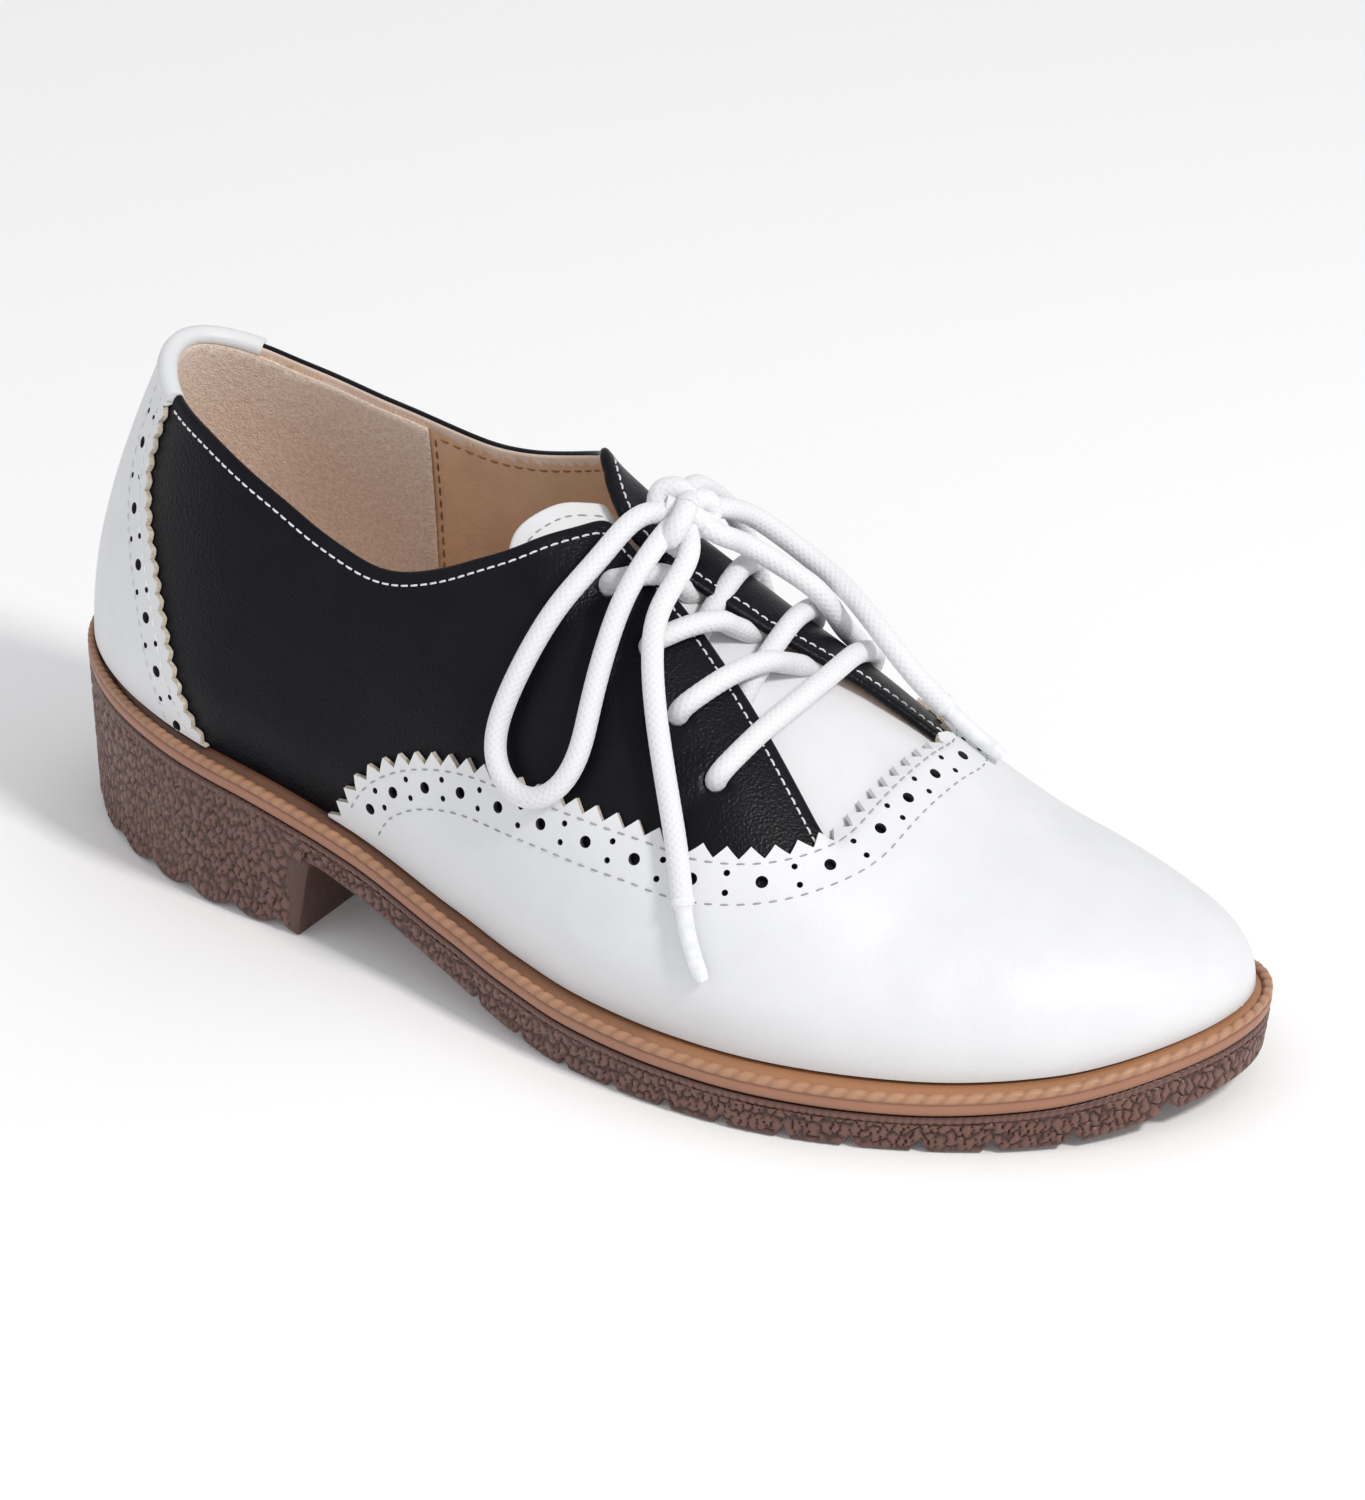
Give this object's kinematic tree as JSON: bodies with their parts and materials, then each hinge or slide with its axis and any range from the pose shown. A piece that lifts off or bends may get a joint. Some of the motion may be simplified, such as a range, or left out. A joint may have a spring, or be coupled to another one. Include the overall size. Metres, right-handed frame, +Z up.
{
  "type": "saddle shoe",
  "caption": "Right lace-up saddle shoe: hollow black leather upper with white pinked wing and heel overlays, tongue, white round lace, welt with bead, heeled lugged rubber sole.",
  "frame": {"origin": "on the floor, under the middle of the welt's length and width", "axes": "+X from heel to toe, +Y to the inner side of the foot (the wearer's left), +Z up"},
  "size_m": [0.2546, 0.0999, 0.1002],
  "materials": {
    "sole_rubber": "matt, pebbled side",
    "welt_rubber": "satin, with a ribbed bead",
    "insole_leather": "soft, unpolished",
    "black_leather": "soft gloss, fine grain",
    "white_leather": "smooth, soft gloss",
    "lace_cord": "braided round cord"
  },
  "bodies": {
    "root": {"outsole": "sole_rubber", "welt": "welt_rubber", "insole": "insole_leather", "upper": "black_leather", "tongue": "white_leather", "vamp": "white_leather", "counter": "white_leather", "lace_bar_1": "lace_cord", "lace_cross_2": "lace_cord", "lace_cross_3": "lace_cord", "lace_cross_4": "lace_cord", "lace_knot": "lace_cord", "lace_loop_lateral": "lace_cord", "lace_end_lateral": "lace_cord", "lace_loop_medial": "lace_cord", "lace_end_medial": "lace_cord"}
  },
  "joints": []
}
